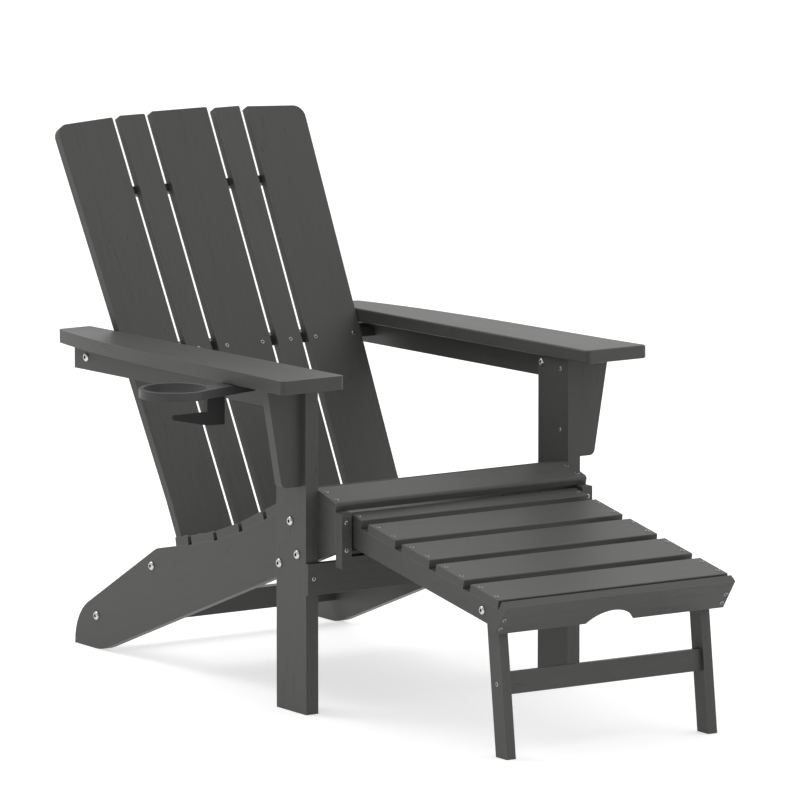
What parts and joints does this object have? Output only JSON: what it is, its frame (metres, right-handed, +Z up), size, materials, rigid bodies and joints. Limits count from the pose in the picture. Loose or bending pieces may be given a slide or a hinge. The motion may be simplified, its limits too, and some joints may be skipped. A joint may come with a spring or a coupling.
{
  "type": "adirondack chair",
  "caption": "Slatted adirondack chair with a fanned back, wide arms, a cup holder ring and a pull-out slatted ottoman on folding legs.",
  "frame": {"origin": "centre of the chair's whole footprint box on the floor", "axes": "+Z up, -Y the way the chair faces, +X to the sitter's left"},
  "size_m": [0.8983, 1.4057, 0.9286],
  "materials": {
    "lumber": "slate-grey poly lumber with a faint wood grain",
    "lumber_hidden": "slate-grey poly lumber, plain",
    "cup_plastic": "moulded plastic, satin",
    "glide_bar": "smooth extruded plastic bar",
    "steel": "stainless steel fasteners"
  },
  "bodies": {
    "chair": {"stringer_left": "lumber", "stringer_right": "lumber", "front_leg_left": "lumber", "front_leg_right": "lumber", "arm_left": "lumber", "arm_right": "lumber", "arm_support_left": "lumber", "arm_support_right": "lumber", "corbel_left": "lumber", "corbel_right": "lumber", "seat_slat_1": "lumber", "seat_slat_2": "lumber", "seat_slat_3": "lumber", "seat_slat_4": "lumber", "seat_slat_5": "lumber", "seat_slat_6": "lumber", "seat_slat_7": "lumber", "back_slat_1": "lumber", "back_slat_2": "lumber", "back_slat_3": "lumber", "back_slat_4": "lumber", "back_slat_5": "lumber", "back_rail_upper": "lumber_hidden", "back_rail_middle": "lumber_hidden", "back_rail_lower": "lumber_hidden", "rear_stretcher": "lumber_hidden", "front_apron": "lumber_hidden", "guide_board": "lumber", "cup_ring": "cup_plastic", "cup_strap": "cup_plastic", "frame_bolts": "steel", "frame_screws": "steel", "seat_screws": "steel", "back_screws": "steel"},
    "glide_bar": {"ottoman_glide_bar": "glide_bar"},
    "ottoman": {"ottoman_rail_left": "lumber", "ottoman_rail_right": "lumber", "ottoman_cross_rail": "lumber_hidden", "ottoman_slat_1": "lumber", "ottoman_slat_2": "lumber", "ottoman_slat_3": "lumber", "ottoman_slat_4": "lumber", "ottoman_slat_5": "lumber", "ottoman_lip": "lumber", "ottoman_screws": "steel", "ottoman_pivot_bolts": "steel"},
    "ottoman_legs": {"ottoman_leg_left": "lumber", "ottoman_leg_right": "lumber", "ottoman_leg_stretcher": "lumber", "ottoman_leg_screws": "steel"}
  },
  "joints": [
    {"name": "ottoman_tilt", "type": "hinge", "parent": "chair", "child": "glide_bar", "pos_m": [0.075, -0.231, 0.2892], "axis": [-1, 0, 0], "range_deg": [0, 33.49]},
    {"name": "ottoman_slide", "type": "slide", "parent": "glide_bar", "child": "ottoman", "axis": [0, 0.9864, 0.1645], "range_m": [0, 0.32]},
    {"name": "ottoman_leg_fold", "type": "hinge", "parent": "ottoman", "child": "ottoman_legs", "pos_m": [0.075, -0.6321, 0.2485], "axis": [1, 0, 0], "range_deg": [0, 106.9]}
  ],
  "couplings": [
    {"joint": "ottoman_tilt", "follows": "ottoman_slide", "rad_per_m": 1.8253}
  ]
}
